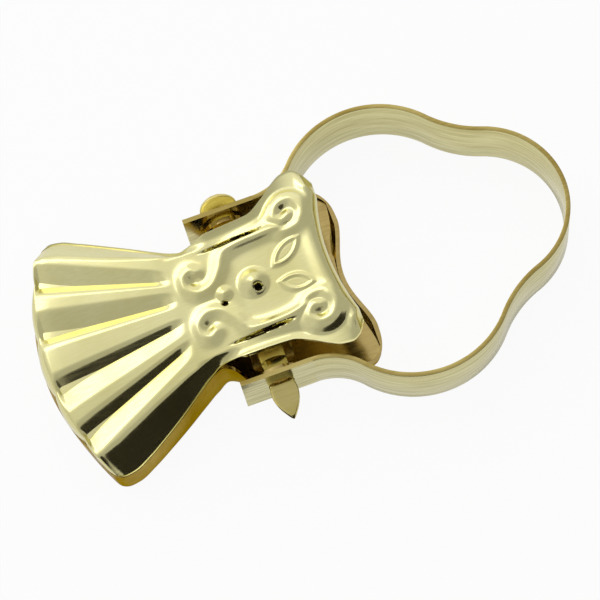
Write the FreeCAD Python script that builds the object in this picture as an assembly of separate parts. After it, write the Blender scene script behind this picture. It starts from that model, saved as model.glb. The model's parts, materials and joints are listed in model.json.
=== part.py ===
import FreeCAD, Part
import math
import os
from collections import namedtuple
from FreeCAD import Vector

# Curtain ring with a spring clip, lying on its back. Millimetres.
# Every piece is drawn about the pivot: +X runs from the fan to the ring, +Y along the pivot bar and
# +Z out of the front jaw's face. It is moved at the end so that the middle of the rod eye is the origin.

# Stock
sheet = 0.5
strip_thickness = 0.5
strip_width = 7.0
bar_thickness = 0.6
wire_diameter = 0.6

# Running gaps
rim_gap = 0.16
ear_gap = 1.35
strip_gap = 0.30
pivot_clearance = 0.06
coil_clearance = 0.15
leg_gap = 0.05

# Pivot and ears
bar_width = 2.8
ear_inside_half = 6.95
ear_radius = 2.3
ear_margin = 0.1
ear_top = 1.1

# Ring, seen from the front
ring_reach = 36.0
leg_tail = 4.2
neck_radius = 6.4
lobe_x = 16.6
lobe_y = 5.4
lobe_radius = 10.4
notch_radius = 12.6
far_radius = 9.1
eye_x = 21.5

# Fan of both jaws, seen from the front
mouth_reach = 23.8
mouth_sag = 3.3
mouth_half = 14.3
mouth_corner = 1.0
lip_length = 2.6
lip_bend = 1.56
lip_rise = 0.12
lip_wall = 0.9
lip_fullness = 0.6
bend_corner = 0.2
fan_inner = 9.0
fan_inner_half = 8.0
flute_root = 6.8
waist_reach = 5.2
waist_half = 6.2

# Front jaw heights and relief
fan_wall = 1.3
fan_height = 1.6
fan_crown = 0.4
flute_depth = 0.95
flute_end_depth = 0.28
flute_apex = 2.5
flute_pitch = 6.0
ridge_parts = 6
dome_parts = 3
panel_height = 4.5
panel_rise = 0.12
panel_half = 5.5
neck_flare = 0.5
front_wing_half = 10.4
front_wing_x = 8.2
front_wing_wall = 2.4
front_wing_rim = 4.0
front_head_reach = 10.3
front_corner_setback = 0.85
front_corner_cut = 0.7
front_corner_drop = 0.35
front_end_wall = 1.1
front_end_cut = 2.1
front_end_drop = 1.6

# Back jaw head
back_wall = 0.5
back_neck_flare = 0.15
back_wing_half = 11.0
back_wing_x = 9.4
back_wing_rim = 2.2
back_head_reach = 12.0
back_corner_setback = 0.9
back_corner_cut = 0.9
back_corner_wall = 0.5
back_corner_lift = 0.2
back_end_cut = 2.2
back_end_wall = 0.5
back_end_lift = 0.4

# Pressed ornament on the head
boss_x = 0.75
boss_radius = 1.8
boss_height = 0.8
dimple_radius = 0.45
bead_x = -2.6
bead_radius = 1.0
bead_height = 0.5
oval_x = 5.1
oval_y = 1.85
oval_length = 3.2
oval_width = 1.1
oval_turn = 27.0
wing_scroll_x = 6.3
wing_scroll_y = 5.8
wing_scroll_radius = 1.7
waist_scroll_x = -5.0
waist_scroll_y = 3.0
waist_scroll_radius = 1.0
scroll_tube = 0.3
scroll_height = 0.35
scroll_shrink = 0.62
wing_scroll_halves = 3
waist_scroll_halves = 2
ornament_root = 0.3

# Bar ends
leaf_length = 3.9
leaf_width = 3.0
leaf_cheek = 1.3
leaf_root = 0.1
leaf_droop = 11.0
tab_length = 2.5
tab_width = 4.2
tab_lift = 50.0

# Spring
coil_turns = 2
coil_pitch_share = 1.15
spring_leg = 7.0
wire_sides = 8

# Places that follow from the sizes above
back_depth = strip_width / 2
front_ear_out = ear_inside_half + sheet
back_ear_in = front_ear_out + ear_gap
back_ear_out = back_ear_in + sheet
strip_inside_half = back_ear_out + strip_gap
leg_half = strip_inside_half + strip_thickness / 2
strip_outside_half = strip_inside_half + strip_thickness
bar_radius = bar_width / 2
pivot_hole = bar_radius + pivot_clearance
rim_level = rim_gap / 2
ear_reach = ear_radius + ear_margin

Station = namedtuple("Station", "x sag rim shoulder rim_z shoulder_z crown ridge")


def panel_z(x):
    """Height of the flat head panel above the pivot plane."""
    return panel_height + panel_rise * x


def mouth_bulge(x):
    """How far the mouth's arc carries the sides along X, fading to nothing at the waist."""
    return mouth_sag * (-x - waist_reach) / (mouth_reach - waist_reach)


def chord_points(start, middle, end, parts):
    """Evenly spaced points on the arc through three points, or on the line where they lie in one line."""
    shares = [part / parts for part in range(parts + 1)]
    if (middle - start).cross(end - start).Length < 1e-7:
        return [start + (end - start) * share for share in shares]
    bow = Part.Arc(start, middle, end)
    sweep = bow.LastParameter - bow.FirstParameter
    return [bow.value(bow.FirstParameter + sweep * share) for share in shares]


def section(station, grooves, side):
    """Outer and inner points across a sheet: rim, ridges between grooves, rim. side is +1 front, -1 back."""
    drop = station.shoulder_z - station.rim_z
    slope = math.atan2(drop, station.rim - station.shoulder)
    inner_rim = station.rim - sheet / math.sin(slope)
    inner_shoulder = station.shoulder - sheet * math.tan(slope / 2)

    def point(y, z):
        bulge = station.sag * (y / station.rim) ** 2
        return Vector(station.x + bulge, y, side * z)

    def across(rim, shoulder, lift):
        def crest(share, ridge):
            base = station.shoulder_z + station.crown * (1 - share * share)
            return point(share * shoulder, base + ridge - lift)

        row = [point(-rim, station.rim_z), crest(grooves[0], 0)]
        for low, high in zip(grooves, grooves[1:]):
            top = crest((low + high) / 2, station.ridge)
            row += chord_points(crest(low, 0), top, crest(high, 0), ridge_parts)[1:]
        return row + [point(rim, station.rim_z)]

    return across(station.rim, station.shoulder, 0), across(inner_rim, inner_shoulder, sheet)


def facets(a, b, c, d):
    """Flat face on four corners, or two that meet on a diagonal, the same on both sides of the middle."""
    normal = (b - a).cross(d - a)
    if abs(normal.dot(c - a)) < 1e-7 * normal.Length:
        loops = [[a, b, c, d]]
    elif abs(a.y) < abs(b.y):
        loops = [[a, b, c], [a, c, d]]
    else:
        loops = [[a, b, d], [b, c, d]]
    return [Part.Face(Part.makePolygon(loop + loop[:1])) for loop in loops]


def bridge(first, second):
    """Faces between two matching rows of points."""
    faces = []
    for a, b, c, d in zip(first, first[1:], second[1:], second):
        faces += facets(a, b, c, d)
    return faces


def stamped_sheet(stations, grooves, side):
    """Closed solid of one pressed sheet, carried from station to station."""
    rows = [section(station, grooves, side) for station in stations]
    faces = bridge(*rows[0]) + bridge(*rows[-1])
    for (outer, inner), (next_outer, next_inner) in zip(rows, rows[1:]):
        faces += bridge(outer, next_outer) + bridge(inner, next_inner)
        for end in (0, -1):
            faces += facets(outer[end], inner[end], next_inner[end], next_outer[end])
    shell = Part.makeShell(faces)
    shell.sewShape()
    solid = Part.makeSolid(shell)
    if solid.Volume < 0:
        solid.reverse()
    return solid


def ear_pair(inside_half, root, side):
    """Two flat ears that run from a jaw's walls across the pivot and end in a half round beyond it."""
    plates = []
    for low_y in (inside_half, -inside_half - sheet):
        block_base = Vector(-ear_radius, low_y, min(0, side * root))
        block = Part.makeBox(2 * ear_radius, sheet, root, block_base)
        disc = Part.makeCylinder(ear_radius, sheet, Vector(0, low_y, 0), Vector(0, 1, 0))
        half_base = Vector(-ear_radius, low_y, min(0, -side * ear_radius))
        half = Part.makeBox(2 * ear_radius, sheet, ear_radius, half_base)
        plates.append(block.fuse(disc.common(half)).removeSplitter())
    return plates


def pivot_bore(radius):
    """Cutter for the pivot holes, right through along Y."""
    reach = strip_outside_half + sheet
    return Part.makeCylinder(radius, 2 * reach, Vector(0, -reach, 0), Vector(0, 1, 0))


def on_panel(shape, x, y):
    """Set an ornament drawn about the origin on the tilted head panel."""
    tilt = -math.degrees(math.atan(panel_rise))
    shape.rotate(Vector(0, 0, 0), Vector(0, 1, 0), tilt)
    shape.translate(Vector(x, y, panel_z(x)))
    return shape


def dome(radius, height):
    """Low round dome on a short root."""
    rim = Vector(radius, 0, 0)
    top = Vector(0, 0, height)
    ball = (radius * radius + height * height) / (2 * height)
    half = math.asin(radius / ball) / 2
    middle = Vector(ball * math.sin(half), 0, height - ball + ball * math.cos(half))
    root = Vector(0, 0, -ornament_root)
    outline = chord_points(rim, middle, top, dome_parts) + [root, root + rim, rim]
    face = Part.Face(Part.makePolygon(outline))
    return face.revolve(Vector(0, 0, 0), Vector(0, 0, 1), 360)


def pointed_oval(turn):
    """Raised pointed oval between two arcs."""
    tip = Vector(oval_length / 2, 0, -ornament_root)
    back_tip = Vector(-oval_length / 2, 0, -ornament_root)
    side = Vector(0, oval_width / 2, -ornament_root)
    back_side = Vector(0, -oval_width / 2, -ornament_root)
    outline = [Part.Arc(back_tip, side, tip).toShape(), Part.Arc(tip, back_side, back_tip).toShape()]
    oval = Part.Face(Part.Wire(outline)).extrude(Vector(0, 0, ornament_root + scroll_height))
    oval.rotate(Vector(0, 0, 0), Vector(0, 0, 1), turn)
    return oval


def half_band(centre_x, radius, sign):
    """Raised half ring, scroll_tube to each side of its radius, on the +Y or -Y side."""
    outer = radius + scroll_tube
    inner = radius - scroll_tube

    def along(reach):
        return Vector(centre_x + reach, 0, -ornament_root)

    def over(reach):
        return Vector(centre_x, sign * reach, -ornament_root)

    outline = [
        Part.Arc(along(outer), over(outer), along(-outer)).toShape(),
        Part.makeLine(along(-outer), along(-inner)),
        Part.Arc(along(-inner), over(inner), along(inner)).toShape(),
        Part.makeLine(along(inner), along(outer)),
    ]
    return Part.Face(Part.Wire(outline)).extrude(Vector(0, 0, ornament_root + scroll_height))


def scroll(radius, sign, halves):
    """Spiral ridge made of half rings, each smaller than the last, round a small round eye."""
    pieces = []
    centre_x = 0.0
    turn = radius
    for half in range(halves):
        swap = 1 if half % 2 == 0 else -1
        pieces.append(half_band(centre_x, turn, swap * sign))
        smaller = turn * scroll_shrink
        centre_x -= swap * (turn - smaller)
        turn = smaller
    eye = Part.makeCylinder(turn, ornament_root + scroll_height, Vector(centre_x, 0, -ornament_root))
    return pieces + [eye]


def head_ornament():
    """Everything pressed into the head, as solids that grow out of the panel."""
    shapes = [on_panel(dome(boss_radius, boss_height), boss_x, 0)]
    shapes.append(on_panel(dome(bead_radius, bead_height), bead_x, 0))
    for sign in (-1, 1):
        shapes.append(on_panel(pointed_oval(sign * oval_turn), oval_x, sign * oval_y))
        for piece in scroll(wing_scroll_radius, sign, wing_scroll_halves):
            shapes.append(on_panel(piece, wing_scroll_x, sign * wing_scroll_y))
        for piece in scroll(waist_scroll_radius, -sign, waist_scroll_halves):
            shapes.append(on_panel(piece, waist_scroll_x, sign * waist_scroll_y))
    return shapes


def fan_stations(height, crown, wall, end_ridge, ridge):
    """Stations of either jaw from the mouth's edge, over the rolled lip, to the full height of the fan."""
    bend_x = lip_bend - mouth_reach
    full_x = lip_length - mouth_reach
    edge_half = mouth_half - mouth_corner
    edge_z = rim_level + sheet + lip_rise
    bend_half = mouth_half - bend_corner
    bend_z = edge_z + lip_fullness * (height - edge_z)
    edge = Station(-mouth_reach, mouth_bulge(-mouth_reach), edge_half, edge_half - lip_wall,
                   rim_level, edge_z, 0, 0)
    bend = Station(bend_x, mouth_bulge(bend_x), bend_half, bend_half - wall, rim_level, bend_z,
                   lip_fullness * crown, end_ridge)
    full = Station(full_x, mouth_bulge(full_x), mouth_half, mouth_half - wall,
                   rim_level, height, crown, ridge)
    return [edge, bend, full]


def flat_station(x, rim, wall, rim_z, top_z):
    """Station with a flat top: no sag, crown or ridges."""
    return Station(x, 0, rim, rim - wall, rim_z, top_z, 0, 0)


def front_jaw():
    """Front jaw: fluted fan, waist with ears, and the winged, ornamented head."""
    stations = fan_stations(fan_height, fan_crown, fan_wall, flute_end_depth, flute_depth)
    mouth = stations[-1]
    shrink = (flute_apex + fan_inner) / (flute_apex - mouth.x)
    apex_z = panel_z(-fan_inner)
    inner_z = apex_z + shrink * (mouth.shoulder_z - apex_z)
    root_share = (flute_root - waist_reach) / (fan_inner - waist_reach)
    root_half = waist_half + root_share * (fan_inner_half - waist_half)
    ear_wall = front_ear_out - panel_half
    neck_x = (ear_reach + front_wing_x) / 2
    neck_half = (front_ear_out + front_wing_half) / 2
    neck_wall = neck_half - panel_half - neck_flare
    neck_rim = (ear_top + front_wing_rim) / 2
    corner_x = front_head_reach - front_corner_setback
    corner_half = front_wing_half - front_corner_cut
    corner_wall = front_wing_wall - front_corner_cut
    end_half = front_wing_half - front_end_cut
    end_rim = front_wing_rim - front_end_drop / 2
    stations += [
        Station(-fan_inner, mouth_bulge(-fan_inner), fan_inner_half, shrink * mouth.shoulder,
                rim_level, inner_z, shrink * mouth.crown, shrink * mouth.ridge),
        flat_station(-flute_root, root_half, fan_wall, rim_level, panel_z(-flute_root)),
        flat_station(-waist_reach, waist_half, fan_wall, rim_level, panel_z(-waist_reach)),
        flat_station(-ear_reach, front_ear_out, ear_wall, ear_top, panel_z(-ear_reach)),
        flat_station(ear_reach, front_ear_out, ear_wall, ear_top, panel_z(ear_reach)),
        flat_station(neck_x, neck_half, neck_wall, neck_rim, panel_z(neck_x)),
        flat_station(front_wing_x, front_wing_half, front_wing_wall, front_wing_rim, panel_z(front_wing_x)),
        flat_station(corner_x, corner_half, corner_wall, front_wing_rim,
                     panel_z(corner_x) - front_corner_drop),
        flat_station(front_head_reach, end_half, front_end_wall, end_rim,
                     panel_z(front_head_reach) - front_end_drop),
    ]
    inner_groove = flute_pitch / 2 / mouth.shoulder
    outer_groove = 3 * inner_groove
    body = stamped_sheet(stations, [-1, -outer_groove, -inner_groove, inner_groove, outer_groove, 1], 1)
    body = body.fuse(ear_pair(ear_inside_half, ear_top, 1) + head_ornament())
    dimple = on_panel(Part.makeCylinder(dimple_radius, boss_height), boss_x, 0)
    dimple.translate(Vector(0, 0, boss_height / 2))
    body = body.cut([pivot_bore(pivot_hole), dimple])
    return body.removeSplitter()


def back_jaw():
    """Back jaw: a plain tray of the same outline, flat behind, with its ears outside the front jaw's."""
    stations = fan_stations(back_depth, 0, back_wall, 0, 0)
    neck_x = (ear_reach + back_wing_x) / 2
    neck_rim = (ear_top + back_wing_rim) / 2
    corner_x = back_head_reach - back_corner_setback
    corner_half = back_wing_half - back_corner_cut
    corner_rim = back_wing_rim + back_corner_lift
    end_half = back_wing_half - back_end_cut
    end_rim = back_wing_rim + back_end_lift
    stations += [
        Station(-fan_inner, mouth_bulge(-fan_inner), fan_inner_half, fan_inner_half - back_wall,
                rim_level, back_depth, 0, 0),
        flat_station(-waist_reach, waist_half, back_wall, rim_level, back_depth),
        flat_station(-ear_reach, back_ear_out, 0, ear_top, back_depth),
        flat_station(ear_reach, back_ear_out, 0, ear_top, back_depth),
        flat_station(neck_x, back_ear_out + back_neck_flare, back_wall, neck_rim, back_depth),
        flat_station(back_wing_x, back_wing_half, back_wall, back_wing_rim, back_depth),
        flat_station(corner_x, corner_half, back_corner_wall, corner_rim, back_depth),
        flat_station(back_head_reach, end_half, back_end_wall, end_rim, back_depth),
    ]
    body = stamped_sheet(stations, [-1, 1], -1)
    body = body.fuse(ear_pair(back_ear_in, back_depth - sheet / 2, -1))
    return body.cut(pivot_bore(pivot_hole)).removeSplitter()


def ring_arcs(offset):
    """Half of the ring's outline as tangent arcs, offset outwards from the strip's middle."""
    lobe = Vector(lobe_x, lobe_y, 0)
    far = Vector(ring_reach - strip_thickness / 2 - far_radius, 0, 0)
    neck_y = leg_half + neck_radius
    neck_run = math.sqrt((lobe_radius + neck_radius) ** 2 - (neck_y - lobe_y) ** 2)
    neck = Vector(lobe_x - neck_run, neck_y, 0)
    between = far - lobe
    span_length = between.Length
    near_side = (lobe_radius + notch_radius) ** 2
    far_side = (far_radius + notch_radius) ** 2
    along = (near_side - far_side + span_length ** 2) / (2 * span_length)
    aside = math.sqrt(near_side - along ** 2)
    unit = between / span_length
    notch = lobe + unit * along + Vector(-unit.y, unit.x, 0) * aside

    def toward(centre, target, radius):
        way = target - centre
        return centre + way / way.Length * radius

    def arc(centre, radius, start, end):
        bisector = (start - centre) + (end - centre)
        middle = centre + bisector / bisector.Length * radius
        return Part.Arc(start, middle, end).toShape()

    tail = Vector(-leg_tail, leg_half + offset, 0)
    leave = Vector(neck.x, leg_half + offset, 0)
    neck_to_lobe = toward(lobe, neck, lobe_radius + offset)
    lobe_to_notch = toward(lobe, notch, lobe_radius + offset)
    notch_to_far = toward(far, notch, far_radius + offset)
    end = far + Vector(far_radius + offset, 0, 0)
    return [
        Part.makeLine(tail, leave),
        arc(neck, neck_radius - offset, leave, neck_to_lobe),
        arc(lobe, lobe_radius + offset, neck_to_lobe, lobe_to_notch),
        arc(notch, notch_radius - offset, lobe_to_notch, notch_to_far),
        arc(far, far_radius + offset, notch_to_far, end),
    ]


def ring_strip():
    """The ring: one strip on edge, bent to three lobes, with a pivot hole in each square end."""
    outside = ring_arcs(strip_thickness / 2)
    inside = ring_arcs(-strip_thickness / 2)
    tail_cut = Part.makeLine(inside[0].firstVertex(True).Point, outside[0].firstVertex(True).Point)
    far_cut = Part.makeLine(outside[-1].lastVertex(True).Point, inside[-1].lastVertex(True).Point)
    half = Part.Face(Part.Wire(Part.__sortEdges__(outside + inside + [tail_cut, far_cut])))
    upper = half.extrude(Vector(0, 0, strip_width))
    upper.translate(Vector(0, 0, -strip_width / 2))
    lower = upper.mirror(Vector(0, 0, 0), Vector(0, 1, 0))
    return upper.fuse(lower).cut(pivot_bore(pivot_hole)).removeSplitter()


def pivot_bar():
    """The flat bar with round edges, a pointed leaf at one end and a bent-up tab at the other."""
    out = strip_outside_half + strip_gap
    half = bar_thickness / 2
    length = 2 * out + bar_thickness
    round_bar = Part.makeCylinder(bar_radius, length, Vector(0, -out, 0), Vector(0, 1, 0))
    bar = round_bar.common(Part.makeBox(bar_width, length, bar_thickness, Vector(-bar_radius, -out, -half)))

    def leaf_side(sign):
        root = Vector(sign * bar_radius, leaf_root, -half)
        cheek = Vector(sign * leaf_width / 2, -leaf_cheek, -half)
        return root, cheek

    tip = Vector(0, -leaf_length, -half)
    right_root, right_cheek = leaf_side(1)
    left_root, left_cheek = leaf_side(-1)
    outline = [
        Part.Arc(right_root, right_cheek, tip).toShape(),
        Part.Arc(tip, left_cheek, left_root).toShape(),
        Part.makeLine(left_root, right_root),
    ]
    leaf = Part.Face(Part.Wire(outline)).extrude(Vector(0, 0, bar_thickness))
    leaf.rotate(Vector(0, 0, 0), Vector(1, 0, 0), leaf_droop)
    leaf.translate(Vector(0, -out, 0))

    tab_round = tab_width / 2
    plate = Part.makeBox(tab_width, tab_length, bar_thickness, Vector(-tab_round, 0, -half))
    disc = Part.makeCylinder(tab_round, bar_thickness, Vector(0, tab_length - tab_round, -half))
    tab = plate.common(disc)
    tab.rotate(Vector(0, 0, 0), Vector(1, 0, 0), tab_lift)
    tab.translate(Vector(0, out, 0))
    return bar.fuse([leaf, tab]).removeSplitter()


def leg_angle(room, coil_radius):
    """Angle of a straight leg, tangent to the coil, whose end lies room away from the pivot's plane."""
    return math.asin(room / math.hypot(coil_radius, spring_leg)) - math.atan2(coil_radius, spring_leg)


def torsion_spring():
    """Coil on the bar, wound so that its two straight legs lie inside the two head plates."""
    wire_radius = wire_diameter / 2
    coil_radius = bar_radius + coil_clearance + wire_radius
    tilt = math.atan(panel_rise)
    front_room = (panel_height - sheet) * math.cos(tilt) - wire_radius - leg_gap
    back_room = back_depth - sheet - wire_radius - leg_gap
    lift = tilt + leg_angle(front_room, coil_radius)
    drop = leg_angle(back_room, coil_radius)
    turns = coil_turns + 0.5 - (lift + drop) / (2 * math.pi)
    pitch = wire_diameter * coil_pitch_share
    length = pitch * turns

    corners = []
    for step in range(wire_sides + 1):
        angle = 2 * math.pi * step / wire_sides
        corners.append(Vector(coil_radius + wire_radius * math.cos(angle), 0, wire_radius * math.sin(angle)))
    profile = Part.Wire(Part.makePolygon(corners))
    coil = Part.Wire(Part.makeHelix(pitch, length, coil_radius).Edges).makePipeShell([profile], True, True)
    coil.rotate(Vector(0, 0, 0), Vector(0, 0, 1), 90 + math.degrees(drop))
    coil.rotate(Vector(0, 0, 0), Vector(1, 0, 0), -90)
    coil.translate(Vector(0, -length / 2, 0))

    def leg(angle, side):
        root = Vector(-math.sin(angle) * coil_radius, side * length / 2, side * math.cos(angle) * coil_radius)
        way = Vector(math.cos(angle), 0, side * math.sin(angle))
        return Part.makeCylinder(wire_radius, spring_leg, root, way)

    return coil.fuse([leg(lift, 1), leg(drop, -1)]).removeSplitter()


def main():
    """Build every piece, move it to the rod eye and write it."""
    os.makedirs("parts", exist_ok=True)
    pieces = {
        "front_jaw": front_jaw(),
        "back_jaw": back_jaw(),
        "ring_strip": ring_strip(),
        "pivot_bar": pivot_bar(),
        "torsion_spring": torsion_spring(),
    }
    for name, shape in pieces.items():
        shape.translate(Vector(-eye_x, 0, 0))
        shape.exportStep("parts/" + name + ".step")


main()
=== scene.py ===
"""Looks of a curtain ring with a spring clip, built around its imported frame.

Sizes are in millimetres about the pivot bar: +X runs from the clip's fan to the ring, +Y along the bar and
+Z out of the front jaw's face. Meshes are written in metres in the frame's own place.
"""
from __future__ import annotations

import json
import logging
import math
from collections.abc import Callable
from dataclasses import dataclass, field
from enum import Enum

import bmesh
import bpy
import numpy as np
from mathutils import Matrix, Vector

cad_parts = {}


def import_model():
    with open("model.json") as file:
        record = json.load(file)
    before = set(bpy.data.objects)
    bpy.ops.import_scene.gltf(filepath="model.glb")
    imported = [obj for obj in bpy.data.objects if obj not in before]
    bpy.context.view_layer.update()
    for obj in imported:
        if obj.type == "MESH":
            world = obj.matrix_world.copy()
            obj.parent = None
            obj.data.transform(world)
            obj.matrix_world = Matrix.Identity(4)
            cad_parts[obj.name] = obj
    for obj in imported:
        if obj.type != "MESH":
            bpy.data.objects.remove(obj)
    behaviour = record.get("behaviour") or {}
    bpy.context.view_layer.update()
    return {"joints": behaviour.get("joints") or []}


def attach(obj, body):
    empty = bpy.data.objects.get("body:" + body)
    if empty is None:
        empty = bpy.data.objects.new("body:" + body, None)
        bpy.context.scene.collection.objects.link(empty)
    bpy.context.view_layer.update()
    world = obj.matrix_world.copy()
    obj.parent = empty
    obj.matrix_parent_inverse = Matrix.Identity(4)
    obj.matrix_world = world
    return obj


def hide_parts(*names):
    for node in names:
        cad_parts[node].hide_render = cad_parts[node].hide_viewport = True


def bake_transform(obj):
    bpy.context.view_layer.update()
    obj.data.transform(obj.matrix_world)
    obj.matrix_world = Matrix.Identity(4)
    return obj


LOG = logging.getLogger("curtain_ring")
MM = 0.001
WELD = 1e-7
SHARP_EDGE = math.radians(38.0)
LEAST_NORMAL = 1e-12
LEAST_DIVISOR = 1e-6


class Body(Enum):
    """The three bodies of the frame that pieces ride on."""

    BACK = "back"
    FRONT = "front"
    RING = "ring"


class Slot(Enum):
    """Material slots of the record."""

    BRASS = "polished_brass"
    WIRE = "spring_wire"


# Small mathematics


def smooth_curve(knots: list[tuple[float, float]], x: np.ndarray) -> np.ndarray:
    """Monotone cubic through knots, flat where the knots turn back.

    Args:
        knots: pairs of place and value, in rising order of place.
        x: places to evaluate.

    Returns:
        The values at x. Beyond the ends the curve stays at its end value.
    """
    place, value = np.array(knots, float).T
    step = np.diff(place)
    slope = np.diff(value) / step
    tangent = np.zeros_like(value)
    same_way = slope[:-1] * slope[1:] > 0
    mean = 2 * slope[:-1] * slope[1:] / np.where(same_way, slope[:-1] + slope[1:], 1.0)
    tangent[1:-1] = np.where(same_way, mean, 0.0)
    tangent[0] = slope[0]
    tangent[-1] = slope[-1]
    x = np.clip(x, place[0], place[-1])
    index = np.clip(np.searchsorted(place, x, side="right") - 1, 0, len(step) - 1)
    t = (x - place[index]) / step[index]
    rise = value[index + 1] - value[index]
    start = tangent[index] * step[index]
    end = tangent[index + 1] * step[index]
    return value[index] + t * start + t**2 * (3 * rise - 2 * start - end) + t**3 * (start + end - 2 * rise)


def smooth_step(low: float, high: float, x: np.ndarray) -> np.ndarray:
    """Soft ramp from 0 at low to 1 at high."""
    t = np.clip((x - low) / (high - low), 0.0, 1.0)
    return t * t * (3.0 - 2.0 * t)


def bend_profile(count: int, power: float) -> tuple[np.ndarray, np.ndarray]:
    """Quarter of a rounded square, from the foot of a wall to its shoulder.

    Args:
        count: number of samples.
        power: 2 is a quarter circle, larger is squarer.

    Returns:
        Share of the way in and share of the way up, both from 0 to 1.
    """
    angle = np.linspace(0.0, math.pi / 2, count)
    inward = 1.0 - np.cos(angle) ** (2.0 / power)
    upward = np.sin(angle) ** (2.0 / power)
    return inward, upward


def flank_profile(count: int, straight: float) -> tuple[np.ndarray, np.ndarray]:
    """Sloping side of a pressed sheet: straight from its foot, then rounded over to level.

    Args:
        count: number of samples.
        straight: share of the way in over which it stays straight.

    Returns:
        Share of the way in and share of the way up, both from 0 to 1.
    """
    inward = np.linspace(0.0, 1.0, count)
    slope = 2.0 / (1.0 + straight)
    past = np.clip(inward - straight, 0.0, None)
    upward = slope * (inward - past**2 / (2.0 * (1.0 - straight)))
    return inward, upward


def spline_points(points: list[tuple[float, float]], per_span: int) -> np.ndarray:
    """Smooth line through points: on each span the cubic whose end slopes join the neighbouring points.

    Args:
        points: the points that the line passes through.
        per_span: samples on each span.

    Returns:
        Array of samples, one row each.
    """
    p = np.array(points, float)
    before = np.vstack([2 * p[:1] - p[1:2], p[:-1]])
    after = np.vstack([p[1:], 2 * p[-1:] - p[-2:-1]])
    slope = (after - before) / 2
    t = np.linspace(0.0, 1.0, per_span, endpoint=False)[None, :, None]
    a, b = p[:-1, None], p[1:, None]
    da, db = slope[:-1, None], slope[1:, None]
    spans = a + t * da + t**2 * (3 * (b - a) - 2 * da - db) + t**3 * (da + db - 2 * (b - a))
    return np.vstack([spans.reshape(-1, p.shape[1]), p[-1:]])


def distance_to_line(x: np.ndarray, y: np.ndarray, line: np.ndarray) -> np.ndarray:
    """Distance from each place to the nearest sample of a line.

    Args:
        x: places along X, any shape.
        y: places along Y, the same shape.
        line: samples of the line, one row each.

    Returns:
        Distances, in the shape of x.
    """
    best = np.full(x.shape, np.inf)
    for sample in line:
        best = np.minimum(best, (x - sample[0]) ** 2 + (y - sample[1]) ** 2)
    return np.sqrt(best)


def grid_normals(points: np.ndarray) -> np.ndarray:
    """Unit normals of a grid surface, from the cross product of its two directions.

    Args:
        points: points by row and column.

    Returns:
        One normal for each point.
    """
    along = np.gradient(points, axis=0)
    across = np.gradient(points, axis=1)
    normal = np.cross(along, across)
    return normal / np.maximum(np.linalg.norm(normal, axis=2, keepdims=True), LEAST_NORMAL)


def toward(centre: np.ndarray, target: np.ndarray, distance: float) -> np.ndarray:
    """Point at a distance from a centre in the direction of a target."""
    return centre + (target - centre) / np.linalg.norm(target - centre) * distance


# Meshes


class MeshParts:
    """Grids of points gathered into one mesh."""

    def __init__(self) -> None:
        """Start with no points and no faces."""
        self.points: list[np.ndarray] = []
        self.faces: list[np.ndarray] = []
        self.count = 0

    def add_grid(self, grid: np.ndarray, closed: bool = False, flip: bool = False) -> None:
        """Add a grid of quads.

        Args:
            grid: points by row and column.
            closed: whether the last column joins the first.
            flip: whether the faces point the other way.
        """
        rows, columns = grid.shape[:2]
        index = np.arange(rows * columns).reshape(rows, columns) + self.count
        if closed:
            index = np.hstack([index, index[:, :1]])
        around = [index[:-1, :-1], index[:-1, 1:], index[1:, 1:], index[1:, :-1]]
        quads = np.stack(around, axis=-1).reshape(-1, 4)
        self.faces.append(quads if flip else quads[:, ::-1])
        self.points.append(grid.reshape(-1, 3))
        self.count += rows * columns

    def add_sheet(self, outer: np.ndarray, inner: np.ndarray) -> None:
        """Add a closed sheet: an outer and an inner grid of one size, joined round their border.

        Args:
            outer: points of the outer face by row and column.
            inner: points of the inner face, row and column alike.
        """
        self.add_grid(outer)
        self.add_grid(inner, flip=True)
        self.add_grid(np.stack([outer[0], inner[0]]), flip=True)
        self.add_grid(np.stack([outer[-1], inner[-1]]))
        self.add_grid(np.stack([outer[:, 0], inner[:, 0]]))
        self.add_grid(np.stack([outer[:, -1], inner[:, -1]]), flip=True)

    def add_tube(self, grid: np.ndarray) -> None:
        """Add a tube that is closed round its columns and at both ends.

        Args:
            grid: points by row and column, one row round the tube after another.
        """
        self.add_grid(grid, closed=True)
        for row in (0, -1):
            tip = np.repeat(grid[row].mean(axis=0)[None], grid.shape[1], axis=0)
            self.add_grid(np.stack([grid[row], tip]), closed=True)

    def build(self, name: str, origin: Vector) -> bpy.types.Object:
        """Write the gathered grids as one object with welded seams.

        Args:
            name: name of the piece.
            origin: the pivot's place in the frame, in metres.

        Returns:
            The new object, at the frame's origin.
        """
        points = np.vstack(self.points) * MM + np.array(origin)
        faces = np.vstack(self.faces)
        mesh = bpy.data.meshes.new(name)
        mesh.vertices.add(len(points))
        mesh.vertices.foreach_set("co", points.astype(np.float32).ravel())
        mesh.loops.add(faces.size)
        mesh.loops.foreach_set("vertex_index", faces.astype(np.int32).ravel())
        mesh.polygons.add(len(faces))
        mesh.polygons.foreach_set("loop_start", np.arange(0, faces.size, 4, dtype=np.int32))
        mesh.polygons.foreach_set("loop_total", np.full(len(faces), 4, dtype=np.int32))
        mesh.update(calc_edges=True)
        work = bmesh.new()
        work.from_mesh(mesh)
        bmesh.ops.remove_doubles(work, verts=work.verts, dist=WELD)
        bmesh.ops.dissolve_degenerate(work, edges=work.edges, dist=WELD)
        bmesh.ops.recalc_face_normals(work, faces=work.faces)
        work.to_mesh(mesh)
        work.free()
        mesh.polygons.foreach_set("use_smooth", np.ones(len(mesh.polygons), dtype=bool))
        mesh.set_sharp_from_angle(angle=SHARP_EDGE)
        piece = bpy.data.objects.new(name, mesh)
        bpy.context.scene.collection.objects.link(piece)
        return piece


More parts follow.
